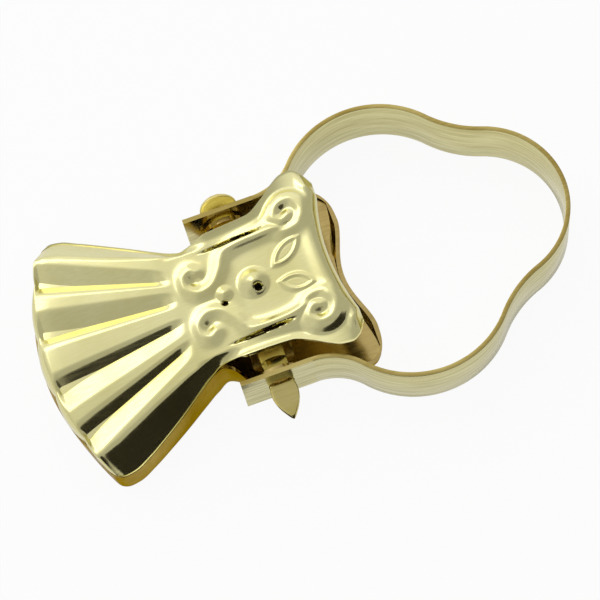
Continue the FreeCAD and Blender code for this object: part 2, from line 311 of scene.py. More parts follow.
def ray_angles(count: int, corners: list[tuple[float, float]]) -> np.ndarray:
    """Angles of rays round a full turn, with one through each corner of the plate.

    Args:
        count: rays at even steps.
        corners: places of the plate's corners in the XZ plane.

    Returns:
        Rising angles from 0 to a full turn.
    """
    even = np.linspace(0.0, 2 * math.pi, count, endpoint=False)
    exact = [math.atan2(z, x) % (2 * math.pi) for x, z in corners]
    return np.unique(np.concatenate([even, exact]))


def plate_with_hole(
    hole: float, edge: np.ndarray, angles: np.ndarray, low_y: float, high_y: float, rings: int
) -> list[np.ndarray]:
    """Flat upright plate round a hole: each ray runs from the hole to the edge at its angle.

    Args:
        hole: radius of the hole.
        edge: distance of the plate's edge along each ray.
        angles: angle of each ray in the XZ plane.
        low_y: place of one face.
        high_y: place of the other face.
        rings: samples along each ray.

    Returns:
        Grids of the two faces, the edge and the hole's wall, closed round the rays.
    """
    share = np.linspace(0.0, 1.0, rings)[:, None]
    reach = hole + (edge[None, :] - hole) * share
    x = reach * np.cos(angles)
    z = reach * np.sin(angles)
    low = np.stack([x, np.full_like(x, low_y), z], axis=-1)
    high = np.stack([x, np.full_like(x, high_y), z], axis=-1)
    return [low, high[::-1], np.stack([low[-1], high[-1]]), np.stack([high[0], low[0]])]


# Finishes

# Sockets of the Mix node by number, because several of them share a name
MIX_SHARE = 0
MIX_FIRST_NUMBER = 2
MIX_SECOND_NUMBER = 3
MIX_FIRST_COLOUR = 6
MIX_SECOND_COLOUR = 7
MIXED_NUMBER = 0
MIXED_COLOUR = 2


def linear(hex_colour: str) -> tuple[float, float, float, float]:
    """Turn an sRGB hex colour into linear values.

    Args:
        hex_colour: the colour as # and six digits.

    Returns:
        Linear red, green and blue, and full alpha.
    """
    channels = [int(hex_colour[i : i + 2], 16) / 255.0 for i in (1, 3, 5)]
    values = [c / 12.92 if c <= 0.04045 else ((c + 0.055) / 1.055) ** 2.4 for c in channels]
    return (values[0], values[1], values[2], 1.0)


def add_node(
    tree: bpy.types.NodeTree, kind: str, settings: dict | None = None, links: dict | None = None
) -> bpy.types.Node:
    """Add a node, set its properties and inputs, and link what feeds it.

    Args:
        tree: the node tree.
        kind: the node's type name.
        settings: properties by name, or input values by the input's name or number.
        links: output sockets by the name or number of the input that they feed.

    Returns:
        The new node.
    """
    node = tree.nodes.new(kind)
    for name, value in (settings or {}).items():
        if isinstance(name, int) or name in node.inputs:
            node.inputs[name].default_value = value
        else:
            setattr(node, name, value)
    for name, socket in (links or {}).items():
        tree.links.new(socket, node.inputs[name])
    return node


def empty_material(name: str) -> tuple[bpy.types.Material, bpy.types.NodeTree]:
    """Start a material with an empty node tree.

    Args:
        name: the material's name.

    Returns:
        The material and its tree.
    """
    material = bpy.data.materials.new(name)
    material.use_nodes = True
    material.node_tree.nodes.clear()
    return material, material.node_tree


@dataclass(frozen=True)
class PlatedBrass:
    """Bright brass plate on sheet: polished, with faintly wavy plating and fine marks along one direction.

    The eye sees a pale, slightly green gold that mirrors the room, warmer where metal mirrors metal.
    """

    name: str = "polished_brass_plate"
    colour: str = "#ECE6AE"
    worn_colour: str = "#E0D898"
    edge_colour: str = "#FFFFFF"
    tone_band: tuple = (0.35, 0.65)
    roughness: float = 0.2
    rough_spread: float = 0.1
    gloss_band: tuple = (0.3, 0.75)
    cloud_mm: float = 6.6
    cloud_detail: float = 3.0
    ripple_mm: float = 2.2
    ripple_detail: float = 1.0
    ripple_height: float = 0.012
    ripple_strength: float = 0.25
    mark_mm: float = 2.2
    mark_detail: float = 4.0
    mark_stretch: tuple = (1.0, 9.0, 9.0)
    mark_tone: float = 0.3
    mark_height: float = 0.0015
    mark_strength: float = 0.5

    def material(self) -> bpy.types.Material:
        """Build the material.

        Returns:
            A metallic material whose colour, gloss and ripple vary over the surface.
        """
        material, tree = empty_material(self.name)
        place = add_node(tree, "ShaderNodeTexCoord").outputs["Object"]
        cloud = add_node(
            tree, "ShaderNodeTexNoise", {"Scale": 1 / (self.cloud_mm * MM), "Detail": self.cloud_detail},
            {"Vector": place})
        stretched = add_node(tree, "ShaderNodeMapping", {"Scale": self.mark_stretch}, {"Vector": place})
        marks = add_node(
            tree, "ShaderNodeTexNoise", {"Scale": 1 / (self.mark_mm * MM), "Detail": self.mark_detail},
            {"Vector": stretched.outputs["Vector"]})
        ripple = add_node(
            tree, "ShaderNodeTexNoise", {"Scale": 1 / (self.ripple_mm * MM), "Detail": self.ripple_detail},
            {"Vector": place})
        share = add_node(
            tree, "ShaderNodeMix", {"data_type": "FLOAT", MIX_SHARE: self.mark_tone},
            {MIX_FIRST_NUMBER: cloud.outputs["Fac"], MIX_SECOND_NUMBER: marks.outputs["Fac"]})
        spread = add_node(
            tree, "ShaderNodeMapRange", {"From Min": self.tone_band[0], "From Max": self.tone_band[1]},
            {"Value": share.outputs[MIXED_NUMBER]})
        tone = add_node(
            tree, "ShaderNodeMix",
            {"data_type": "RGBA", MIX_FIRST_COLOUR: linear(self.colour),
             MIX_SECOND_COLOUR: linear(self.worn_colour)},
            {MIX_SHARE: spread.outputs["Result"]})
        gloss = add_node(
            tree, "ShaderNodeMapRange",
            {"From Min": self.gloss_band[0], "From Max": self.gloss_band[1],
             "To Min": self.roughness - self.rough_spread / 2,
             "To Max": self.roughness + self.rough_spread / 2},
            {"Value": marks.outputs["Fac"]})
        wavy = add_node(
            tree, "ShaderNodeBump", {"Strength": self.ripple_strength, "Distance": self.ripple_height * MM},
            {"Height": ripple.outputs["Fac"]})
        marked = add_node(
            tree, "ShaderNodeBump", {"Strength": self.mark_strength, "Distance": self.mark_height * MM},
            {"Height": marks.outputs["Fac"], "Normal": wavy.outputs["Normal"]})
        shader = add_node(
            tree, "ShaderNodeBsdfPrincipled", {"Metallic": 1.0, "Specular Tint": linear(self.edge_colour)},
            {"Base Color": tone.outputs[MIXED_COLOUR], "Roughness": gloss.outputs["Result"],
             "Normal": marked.outputs["Normal"]})
        add_node(tree, "ShaderNodeOutputMaterial", {}, {"Surface": shader.outputs["BSDF"]})
        return material


@dataclass(frozen=True)
class SpringWire:
    """Drawn steel spring wire: grey, with fine marks along its length."""

    name: str = "drawn_spring_wire"
    colour: str = "#A9A49A"
    dark_colour: str = "#837D72"
    roughness: float = 0.32
    mark_mm: float = 0.2
    mark_detail: float = 3.0

    def material(self) -> bpy.types.Material:
        """Build the material.

        Returns:
            A metallic material with streaked colour.
        """
        material, tree = empty_material(self.name)
        place = add_node(tree, "ShaderNodeTexCoord").outputs["Object"]
        marks = add_node(
            tree, "ShaderNodeTexNoise", {"Scale": 1 / (self.mark_mm * MM), "Detail": self.mark_detail},
            {"Vector": place})
        tone = add_node(
            tree, "ShaderNodeMix",
            {"data_type": "RGBA", MIX_FIRST_COLOUR: linear(self.colour),
             MIX_SECOND_COLOUR: linear(self.dark_colour)},
            {MIX_SHARE: marks.outputs["Fac"]})
        shader = add_node(
            tree, "ShaderNodeBsdfPrincipled", {"Metallic": 1.0, "Roughness": self.roughness},
            {"Base Color": tone.outputs[MIXED_COLOUR]})
        add_node(tree, "ShaderNodeOutputMaterial", {}, {"Surface": shader.outputs["BSDF"]})
        return material


POLISHED = PlatedBrass()
# Darker, warmer copy of the brass for the back jaw: painted shade and painted reflection of the shaded table
# below it
BACK_SHADE = PlatedBrass(
    name="back_jaw_shade_brass_plate", colour="#CBB472", worn_colour="#A48A50", roughness=0.16, edge_colour="#C6B47C")
DRAWN = PlatedBrass(
    name="drawn_brass_strip", colour="#E8E1A8", worn_colour="#CBC286", mark_mm=6.0,
    mark_stretch=(1.0, 1.0, 14.0), mark_tone=0.85, mark_height=0.008)
WARM = PlatedBrass(name="warm_brass_bar", colour="#EADB92", worn_colour="#D6C36E")
# Darker copy of the brass for the creases and pits: painted shade where little light reaches inside them
SHADED = PlatedBrass(
    name="shaded_brass", colour="#4E3E1C", worn_colour="#2E2410", roughness=0.45, edge_colour="#4E3E1C")
# Darker, rougher copy of the brass for the strip's narrow edges: painted shade on those faces
STRIP_EDGE_SHADE = PlatedBrass(
    name="strip_edge_painted_shade", colour="#CDBB74", worn_colour="#A8924C", roughness=0.3, edge_colour="#CDBB74")


# Dressing


def dress(
    piece: bpy.types.Object, material: bpy.types.Material, body: Body, node: str
) -> bpy.types.Object:
    """Give a piece its finish and its place in the frame.

    Args:
        piece: the new object.
        material: its finish.
        body: the body that it rides on.
        node: the CAD node that it stands for.

    Returns:
        The same object.
    """
    piece.data.materials.append(material)
    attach(piece, body.value)
    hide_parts(node)
    return piece


def paint_faces(piece: bpy.types.Object, finish: PlatedBrass, measure: str, test: Callable) -> None:
    """Give a second finish to the faces that a test picks.

    Args:
        piece: the object.
        finish: the second finish.
        measure: what the test is given of each face, its center or its normal.
        test: tells for such rows which faces take the finish.
    """
    piece.data.materials.append(finish.material())
    rows = np.empty(len(piece.data.polygons) * 3, dtype=np.float32)
    piece.data.polygons.foreach_get(measure, rows)
    chosen = test(rows.reshape(-1, 3))
    piece.data.polygons.foreach_set("material_index", chosen.astype(np.int32))


# Pieces


@dataclass
class Pivot:
    """The pivot's own sizes, which the ears, the strip and the bar share."""

    sheet: float = 0.5
    hole: float = 1.46
    bar_half: float = 1.4
    bar_thick: float = 0.6
    ear_radius: float = 2.3
    ear_inside: float = 6.95
    ear_gap: float = 1.35
    ear_rays: int = 72
    ear_rings: int = 6
    strip_gap: float = 0.3
    strip_thick: float = 0.5
    strip_width: float = 7.0

    @property
    def front_ear_out(self) -> float:
        """Outside of the front jaw's ears."""
        return self.ear_inside + self.sheet

    @property
    def back_ear_in(self) -> float:
        """Inside of the back jaw's ears."""
        return self.front_ear_out + self.ear_gap

    @property
    def back_ear_out(self) -> float:
        """Outside of the back jaw's ears."""
        return self.back_ear_in + self.sheet

    @property
    def strip_inside(self) -> float:
        """Inside of the ring's two legs."""
        return self.back_ear_out + self.strip_gap

    @property
    def bar_out(self) -> float:
        """Where the bar's ends bend, outside the ring's legs."""
        return self.strip_inside + self.strip_thick + self.strip_gap

    @property
    def depth(self) -> float:
        """Depth of the back jaw behind the pivot, half of the strip's width."""
        return self.strip_width / 2

    def ear(self, inside: float, root: float, side: int) -> list[np.ndarray]:
        """Grids of two ears, squared off at their root and half round beyond the pivot.

        Args:
            inside: distance of their inner faces from the middle.
            root: how far from the pivot the root lies.
            side: +1 where the root lies above the pivot, -1 below.

        Returns:
            Grids of both ears.
        """
        angles = ray_angles(self.ear_rays, [(x, side * root) for x in (-self.ear_radius, self.ear_radius)])
        upright = np.maximum(side * np.sin(angles), LEAST_DIVISOR)
        sideways = np.maximum(np.abs(np.cos(angles)), LEAST_DIVISOR)
        square = np.minimum(self.ear_radius / sideways, root / upright)
        edge = np.where(side * np.sin(angles) > 0, square, self.ear_radius)
        grids = []
        for low in (inside, -inside - self.sheet):
            grids += plate_with_hole(self.hole, edge, angles, low, low + self.sheet, self.ear_rings)
        return grids


@dataclass
class FanMouth:
    """Plan of the fan that both jaws share: an arc at the mouth and nearly straight sides to the waist."""

    reach: float = 23.8
    sag: float = 3.3
    waist_reach: float = 5.2
    lip: float = 1.3
    lip_rows: int = 26
    lip_power: float = 2.2
    side_knots: list = field(default_factory=lambda: [
        (-23.8, 12.4), (-23.5, 13.15), (-22.9, 13.75), (-21.8, 14.05), (-20.4, 13.9), (-18.0, 13.0),
        (-15.0, 11.6), (-12.0, 10.1), (-9.0, 8.5), (-6.8, 7.4)])

    def shift(self, x: np.ndarray, share: np.ndarray) -> np.ndarray:
        """How far the arc moves a point along X: by the square of its share across, less toward the waist.

        Args:
            x: place of the row along the middle.
            share: place across, from -1 to 1.

        Returns:
            The shift along X.
        """
        grow = np.clip((-x - self.waist_reach) / (self.reach - self.waist_reach), 0.0, 1.0)
        return self.sag * grow * share**2


@dataclass(frozen=True)
class Round:
    """A round form pressed into the head: its middle, its radius and its height or depth."""

    x: float
    y: float
    radius: float
    height: float

    def away(self, x: np.ndarray, y: np.ndarray) -> np.ndarray:
        """Distance of places from its middle, in its own radii."""
        return np.hypot(x - self.x, y - self.y) / self.radius


@dataclass
class FrontJaw:
    """Front jaw: fluted fan, waist with ears and a winged head with pressed scrolls.

    A pair whose name ends in from says between which two places, along X or across, a form comes in.
    """

    pivot: Pivot
    mouth: FanMouth
    rows: int = 200
    wall_columns: int = 16
    rim_columns: int = 3
    groove_shares: tuple = (0.26, 0.77)
    share_columns: tuple = (21, 40, 19)
    groove_columns_from: tuple = (-5.0, -8.0)
    groove_rounds: int = 6
    half_knots: list = field(default_factory=lambda: [
        (-5.4, 6.95), (-4.2, 7.0), (-2.4, 7.3), (0.0, 7.4), (2.4, 7.55), (4.4, 8.5), (6.0, 9.6), (7.4, 10.3),
        (8.4, 10.4), (9.4, 9.8), (10.3, 8.4)])
    rim_knots: list = field(default_factory=lambda: [
        (-23.8, 0.08), (-19.0, 0.1), (-15.0, 0.5), (-11.0, 1.2), (-8.0, 1.8), (-6.0, 2.4), (-4.2, 3.5),
        (-2.4, 4.5), (2.4, 4.9), (5.0, 5.0), (8.2, 4.9), (10.3, 4.2)])
    wall_knots: list = field(default_factory=lambda: [
        (-23.8, 1.4), (-22.4, 2.5), (-20.0, 3.0), (-15.0, 2.7), (-10.0, 1.9), (-7.0, 1.2), (-5.4, 1.0),
        (-2.4, 1.4), (2.4, 1.5), (5.0, 1.8), (8.2, 2.4), (10.3, 1.6)])
    crest_knots: list = field(default_factory=lambda: [
        (-23.8, 2.6), (-21.2, 2.95), (-15.0, 3.3), (-9.0, 3.65), (-6.8, 3.75), (-5.2, 3.9), (0.0, 4.5),
        (6.0, 5.2), (10.3, 5.7)])
    head_reach: float = 10.3
    corner_tight: float = 0.85
    end_lip: float = 1.7
    end_power: float = 2.0
    end_hollow: float = 1.0
    end_hollow_run: float = 4.0
    end_hollow_share: float = 0.8
    end_drop: float = 1.9
    ear_root: float = 4.3
    rim_flange: float = 0.14
    flange_from: tuple = (0.1, 1.6)
    rim_turn_up: float = 0.05
    flank_straight: float = 0.72
    crown: float = 0.35
    crown_from: tuple = (-5.0, -20.0)
    lean: float = 0.4
    lean_from: tuple = (2.0, 8.0)
    inner_drop: float = 0.35
    inner_drop_from: tuple = (-8.0, -13.0)
    inner_drop_up: float = 2.0
    flute_apex: float = 2.5
    flute_least: float = 1e-3
    flute_slope: float = 0.252
    flute_last: float = 1.999
    flute_depth: float = 1.12
    flute_bend: tuple = (0.4, 0.68)
    flute_straight: float = 0.75
    flute_ends: tuple = (0.25, 1.25)
    flute_starts: tuple = (-7.4, -9.4)
    scallop: float = 0.3
    scallop_run: float = 4.0
    ornament_from: tuple = (-8.0, -6.4)
    scroll_points: list = field(default_factory=lambda: [
        (-4.75, 3.55), (-5.4, 3.95), (-6.2, 3.45), (-6.25, 2.2), (-5.1, 1.25), (-3.5, 1.55), (-2.3, 2.9),
        (-1.4, 4.3), (0.2, 4.85), (2.4, 4.95), (4.3, 4.75), (5.8, 3.95), (7.4, 4.2), (8.15, 5.6), (7.4, 7.0),
        (5.9, 7.0), (5.15, 6.0), (5.8, 5.2), (6.5, 5.5)])
    scroll_samples: int = 14
    scroll_height: float = 0.38
    scroll_half: float = 0.75
    panel_depth: float = 0.14
    panel_side_from: tuple = (4.9, 4.2)
    panel_near_from: tuple = (-2.2, -0.6)
    panel_far_from: tuple = (8.2, 6.6)
    domes: tuple = (Round(0.7, 0.15, 1.9, 0.95), Round(-2.6, 0.1, 1.05, 0.42))
    dome_power: float = 0.8
    pits: tuple = (Round(1.05, -0.65, 0.34, 1.0), Round(-2.85, -0.95, 0.26, 0.7))
    pit_rim: Round = Round(1.05, -0.65, 0.62, 0.05)
    pit_rim_half: float = 0.22
    eyes: tuple = (Round(-5.15, 2.75, 0.55, 0.26), Round(6.35, 6.2, 0.55, 0.26))
    step: Round = Round(6.5, 5.6, 2.3, 0.5)
    step_out: float = 3.2
    step_side_from: tuple = (6.0, 7.4)
    step_end_from: tuple = (9.6, 8.4)
    crease_x: float = 0.1
    crease_y: float = 5.5
    crease_run: float = 2.7
    crease_half: float = 0.18
    crease_depth: float = 1.4
    crease_dark: float = 0.9
    oval_x: float = 5.1
    oval_y: float = 1.85
    oval_turn: float = 27.0
    oval_long: float = 1.75
    oval_wide: float = 0.75
    oval_rim: float = 0.2
    oval_rim_half: float = 0.24
    oval_rise: float = 0.1
    oval_rise_from: tuple = (0.1, 0.5)

    def flutes(self, x: np.ndarray, y: np.ndarray, from_edge: np.ndarray) -> np.ndarray:
        """Depth of the four grooves, which fan out from one apex and end in a round short of the mouth.

        A place's angle about the apex, in ridge widths, is q. Ridges lie at whole q, grooves halfway between.
        A groove's inner wall bends down from its ridge and ends straight and steep. Its outer wall rises
        gently to the next ridge. The outer ridges run on into the sides.

        Args:
            x: places along X.
            y: places along Y.
            from_edge: distance in from the mouth's edge.

        Returns:
            Depth below the ridges' crests.
        """
        from_apex = np.maximum(self.flute_apex - x, self.flute_least)
        q = np.abs(y) / from_apex / self.flute_slope
        past_ridge = 2.0 * (q - np.floor(np.minimum(q, self.flute_last)))
        bend_start, bend_end = self.flute_bend
        bent = np.clip(past_ridge, bend_start, bend_end) - bend_start
        steep = bent**2 / (2.0 * (bend_end - bend_start)) + np.clip(past_ridge - bend_end, 0.0, None)
        steep_full = 1.0 - (bend_start + bend_end) / 2.0
        climb = np.clip(past_ridge - 1.0, 0.0, 1.0)
        over = np.clip(climb - self.flute_straight, 0.0, None)
        risen = climb - over**2 / (2.0 * (1.0 - self.flute_straight))
        gentle = 1.0 - risen * 2.0 / (1.0 + self.flute_straight)
        groove = np.minimum(steep / steep_full, gentle)
        reach = self.flute_apex + self.mouth.reach
        ends = smooth_step(*self.flute_ends, from_edge) * smooth_step(*self.flute_starts, x)
        return self.flute_depth * groove * ends * from_apex / reach

    def ornament(self, x: np.ndarray, y: np.ndarray) -> np.ndarray:
        """Height of what is pressed into the head, one form added to the next.

        Scrolls are rounded ridges along a line, and the panel between them is sunk. Boss and bead are cosine
        domes. Pits, creases and the scrolls' eyes are bell-shaped hollows. A step falls away round the outer
        scrolls.

        Args:
            x: places along X.
            y: places along Y.

        Returns:
            Height above the head's plain face.
        """
        side = np.abs(y)
        scroll = distance_to_line(x, side, spline_points(self.scroll_points, self.scroll_samples))
        height = self.scroll_height * np.exp(-((scroll / self.scroll_half) ** 2))
        along = smooth_step(*self.panel_near_from, x) * smooth_step(*self.panel_far_from, x)
        height -= self.panel_depth * along * smooth_step(*self.panel_side_from, side)
        for dome in self.domes:
            away = np.clip(dome.away(x, y), 0.0, 1.0)
            height += dome.height * (0.5 + 0.5 * np.cos(math.pi * away)) ** self.dome_power
        from_rim = (self.pit_rim.away(x, y) - 1.0) * self.pit_rim.radius / self.pit_rim_half
        height += self.pit_rim.height * np.exp(-(from_rim**2))
        for pit in self.pits:
            height -= pit.height * np.exp(-(pit.away(x, y) ** 4))
        for way in (-1, 1):
            height += self.pointed_oval(x, way * y)
        height -= self.crease_depth * np.exp(-(self.from_crease(x, y) ** 4))
        for eye in self.eyes:
            height -= eye.height * np.exp(-(eye.away(x, side) ** 2))
        outside = smooth_step(self.step.radius, self.step_out, self.step.away(x, side) * self.step.radius)
        corner = smooth_step(*self.step_side_from, side) * smooth_step(*self.step_end_from, x)
        return height - self.step.height * outside * corner

    def from_crease(self, x: np.ndarray, y: np.ndarray) -> np.ndarray:
        """Distance from the middle of the nearer crease, as a share of its half length or half width."""
        return np.hypot((x - self.crease_x) / self.crease_run, (np.abs(y) - self.crease_y) / self.crease_half)

    def is_deep(self, x: np.ndarray, y: np.ndarray) -> np.ndarray:
        """Whether places lie in a crease or a pit, where the shaded brass paints the shade that falls into
        them.

        Args:
            x: places along X.
            y: places along Y.

        Returns:
            One truth value for each place.
        """
        deep = self.from_crease(x, y) < self.crease_dark
        for pit in self.pits:
            deep |= pit.away(x, y) < 1.0
        return deep

    def pointed_oval(self, x: np.ndarray, y: np.ndarray) -> np.ndarray:
        """Pointed oval with a raised rim: where two equal discs overlap, with a ridge along that edge.

        Args:
            x: places along X.
            y: places along Y.

        Returns:
            Height that the oval adds.
        """
        turn = math.radians(self.oval_turn)
        from_x = x - self.oval_x
        from_y = y - self.oval_y
        along = from_x * math.cos(turn) + from_y * math.sin(turn)
        aside = from_y * math.cos(turn) - from_x * math.sin(turn)
        radius = (self.oval_long**2 + self.oval_wide**2) / (2 * self.oval_wide)
        inside = radius - np.hypot(along, np.abs(aside) + radius - self.oval_wide)
        rim = self.oval_rim * np.exp(-((inside / self.oval_rim_half) ** 2))
        return rim + self.oval_rise * smooth_step(*self.oval_rise_from, inside)

    def top_places(self, x0: np.ndarray, half: np.ndarray, wall: np.ndarray) -> np.ndarray:
        """Places across the top from the middle to one shoulder, with a column along each groove of the fan.

        A groove's place depends on the row's bend at that place, so it is worked out in a few rounds.

        Args:
            x0: place of each row along the middle, as a column.
            half: half width at each row, as a column.
            wall: how far in the shoulder lies at each row, as a column.

        Returns:
            Places by row and column, without the shoulder itself.
        """
        edge = half - wall
        stops = [np.zeros_like(edge)]
        in_fan = smooth_step(*self.groove_columns_from, x0)
        for number, even in enumerate(self.groove_shares):
            place = even * edge
            for _ in range(self.groove_rounds):
                x = x0 + self.mouth.shift(x0, place / half)
                place = (number + 0.5) * self.flute_slope * (self.flute_apex - x)
            stops.append(even * edge + (place - even * edge) * in_fan)
        stops.append(edge)
        runs = []
        for low, high, count in zip(stops, stops[1:], self.share_columns):
            runs.append(low + (high - low) * np.linspace(0.0, 1.0, count, endpoint=False))
        return np.hstack(runs)

    def surface(self, dressed: bool) -> np.ndarray:
        """Grid of the jaw's outer face.

        Each row is a section: a narrow flange, a side that slopes straight up from it and rounds over to the
        shoulder, then the top from shoulder to shoulder. The top comes down to the rim at the mouth, along a
        rounded square, and part of the way at the head's end.

        Args:
            dressed: whether the flutes' grooves and the ornament are pressed in.

        Returns:
            Points by row and column.
        """
        mouth = self.mouth
        lip_in, _ = bend_profile(mouth.lip_rows, mouth.lip_power)
        end_in, end_up = bend_profile(mouth.lip_rows, self.end_power)
        side_in, side_up = flank_profile(self.wall_columns, self.flank_straight)
        start = -mouth.reach
        stop = self.head_reach - self.end_lip
        middle = np.linspace(start + mouth.lip, stop, self.rows)[1:-1]
        head_end = self.head_reach - self.end_lip * end_in[::-1]
        x0 = np.concatenate([start + mouth.lip * lip_in, middle, head_end])[:, None]
        end = np.concatenate([np.ones(len(lip_in) + len(middle)), end_up[::-1]])[:, None]
        half = smooth_curve(mouth.side_knots + self.half_knots, x0)
        rim = smooth_curve(self.rim_knots, x0)
        wall = smooth_curve(self.wall_knots, x0)
        flange = self.rim_flange * smooth_step(*self.flange_from, x0 - start)
        foot = np.hstack([np.zeros_like(half), 0.5 * flange, flange + (wall - flange) * side_in])
        right = self.top_places(x0, half, wall)
        y = np.hstack([-half + foot, -right[:, :0:-1], right, half - foot[:, ::-1]])
        top_columns = 2 * right.shape[1] - 1
        foot_up = np.concatenate([[0.0, 0.0], side_up])
        up = np.concatenate([foot_up, np.ones(top_columns), foot_up[::-1]])
        lifted = np.concatenate([[1.0, 0.5], np.zeros(2 * len(side_up) + top_columns), [0.5, 1.0]])
        turn_up = self.rim_turn_up / self.rim_flange * flange * lifted
        across = y / half
        lip_length = mouth.lip * (1.0 - self.corner_tight * across**2)
        left = 1.0 - np.clip((x0 - start) / lip_length, 0.0, 1.0)
        lip = (1.0 - left**mouth.lip_power) ** (1.0 / mouth.lip_power)
        hollow = self.end_hollow * smooth_step(stop - self.end_hollow_run, self.head_reach, x0)
        pulled_in = 1.0 - np.clip(across / self.end_hollow_share, -1.0, 1.0) ** 2
        x = x0 + mouth.shift(x0, across) - hollow * pulled_in
        crown = self.crown * smooth_step(*self.crown_from, x0)
        top = smooth_curve(self.crest_knots, x0) - crown * across**2
        if dressed:
            from_edge = x0 - start
            top = top - self.flutes(x, y, from_edge)
            ridge = np.abs(y) / (self.flute_apex - x) / self.flute_slope
            off_ridge = 2.0 * (ridge - np.round(ridge))
            x = x + self.scallop * off_ridge**2 * smooth_step(self.scallop_run, 0.0, from_edge)
            top = top + self.ornament(x, y) * smooth_step(*self.ornament_from, x)
        top = top - self.end_drop * (1.0 - end)
        z = rim + (top - rim) * up * lip + turn_up
        y = y + self.lean * smooth_step(*self.lean_from, x0)
        return np.stack([x, y, z], axis=-1)

    def build(self, origin: Vector, material: bpy.types.Material) -> bpy.types.Object:
        """Build and dress the jaw.

        Args:
            origin: the pivot's place in the frame.
            material: its finish.

        Returns:
            The piece, riding on the front body.
        """
        plain = self.surface(dressed=False)
        normal = grid_normals(plain)
        edge = self.rim_columns
        normal[:, :edge] = normal[:, edge : edge + 1]
        normal[:, -edge:] = normal[:, -edge - 1 : -edge]
        normal[0] = normal[1]
        inner = plain - normal * self.pivot.sheet
        raised = smooth_step(0.0, self.inner_drop_up, plain[..., 2])
        inner[..., 2] -= self.inner_drop * smooth_step(*self.inner_drop_from, plain[..., 0]) * raised
        parts = MeshParts()
        parts.add_sheet(self.surface(dressed=True), inner)
        for grid in self.pivot.ear(self.pivot.ear_inside, self.ear_root, 1):
            parts.add_grid(grid, closed=True)
        piece = parts.build("front_jaw_sheet", origin)
        dress(piece, material, Body.FRONT, "front_jaw")
        middle = np.array(origin)
        # Painted shade: faces in the creases and pits take the darker shaded brass
        paint_faces(piece, SHADED, "center", lambda rows: self.is_deep(*((rows - middle) / MM).T[:2]))
        return piece


@dataclass
class BackJaw:
    """Back jaw: a plain tray of the same plan, with its ears outside the front jaw's."""

    pivot: Pivot
    mouth: FanMouth
    rows: int = 150
    end_rows: int = 12
    wall_columns: int = 18
    floor_columns: int = 40
    half_knots: list = field(default_factory=lambda: [
        (-5.4, 7.0), (-4.2, 7.5), (-2.6, 9.1), (-1.6, 9.3), (2.4, 9.3), (5.9, 9.4), (8.2, 10.4), (9.6, 10.8),
        (10.4, 10.6), (11.0, 10.1), (11.5, 9.3), (11.8, 8.5), (11.95, 7.6), (12.0, 6.6)])
    rim_knots: list = field(default_factory=lambda: [
        (-23.8, 0.08), (-19.0, 0.06), (-15.0, -0.34), (-11.0, -1.04), (-8.0, -1.64), (-6.0, -2.0),
        (-4.6, -1.6), (-2.4, 1.1), (2.4, 1.1), (5.9, 1.8), (9.4, 2.3), (11.0, 2.45), (12.0, 2.45)])
    head_reach: float = 12.0
    bend: float = 0.55
    end_power: float = 2.0
    wall_power: float = 3.0
    draft: float = 0.35
    draft_from: tuple = (-4.6, -7.0)
    draft_full: float = 0.8
    end_hollow: float = 1.5
    end_hollow_from: float = 6.0

    def surface(self) -> tuple[np.ndarray, np.ndarray]:
        """Grids of the tray's outer face, floor and walls, and of its inner face one sheet away.

        Each row is a section whose walls bend into the floor along a rounded square. The inner face lies
        inward of each wall and above the floor, and slides from one to the other round the bend.

        Returns:
            Points by row and column of the outer and of the inner face.
        """
        mouth = self.mouth
        lip_in, lip_up = bend_profile(mouth.lip_rows, mouth.lip_power)
        end_in, end_up = bend_profile(self.end_rows, self.end_power)
        wall_in, wall_up = bend_profile(self.wall_columns, self.wall_power)
        start = -mouth.reach
        middle = np.linspace(start + mouth.lip, self.head_reach - self.bend, self.rows)[1:-1]
        head_end = self.head_reach - self.bend * end_in[::-1]
        x0 = np.concatenate([start + mouth.lip * lip_in, middle, head_end])[:, None]
        lip = np.concatenate([lip_up, np.ones(len(middle)), end_up[::-1]])[:, None]
        share = np.linspace(-1.0, 1.0, self.floor_columns)[1:-1]
        half = smooth_curve(mouth.side_knots + self.half_knots, x0)
        rim = smooth_curve(self.rim_knots, x0)
        spread = self.draft * smooth_step(*self.draft_from, x0) * lip
        foot = self.bend * wall_in - spread * np.minimum(1.0, wall_up / self.draft_full)
        flat = half + spread - self.bend
        y = np.hstack([-half + foot, share * flat, half - foot[:, ::-1]])
        up = np.concatenate([wall_up, np.ones(len(share)), wall_up[::-1]])
        across = y / half
        hollow = self.end_hollow * smooth_step(self.end_hollow_from, self.head_reach, x0)
        pulled_in = (1.0 - np.clip(across, -1.0, 1.0) ** 2) ** 2
        x = x0 + mouth.shift(x0, across) - hollow * pulled_in
        z = -(rim + (self.pivot.depth - rim) * up * lip)
        outer = np.stack([x, y, z], axis=-1)
        way = np.where(x0 < 0, 1.0, -1.0)
        lip_left = np.concatenate([1.0 - lip_in, np.zeros(len(middle)), 1.0 - end_in[::-1]])[:, None]
        wall_left = np.concatenate([1.0 - wall_in, np.zeros(len(share)), 1.0 - wall_in[::-1]])
        inward = [way * lip_left, -np.sign(y) * wall_left, up * lip]
        inward = np.stack([np.broadcast_to(part, y.shape) for part in inward], axis=-1)
        return outer, outer + inward * self.pivot.sheet

    def build(self, origin: Vector, material: bpy.types.Material) -> bpy.types.Object:
        """Build and dress the tray.

        Args:
            origin: the pivot's place in the frame.
            material: its finish.

        Returns:
            The piece, riding on the back body.
        """
        outer, inner = self.surface()
        parts = MeshParts()
        parts.add_sheet(outer[::-1], inner[::-1])
        for grid in self.pivot.ear(self.pivot.back_ear_in, self.pivot.depth - self.pivot.sheet, -1):
            parts.add_grid(grid, closed=True)
        piece = parts.build("back_jaw_tray", origin)
        return dress(piece, material, Body.BACK, "back_jaw")


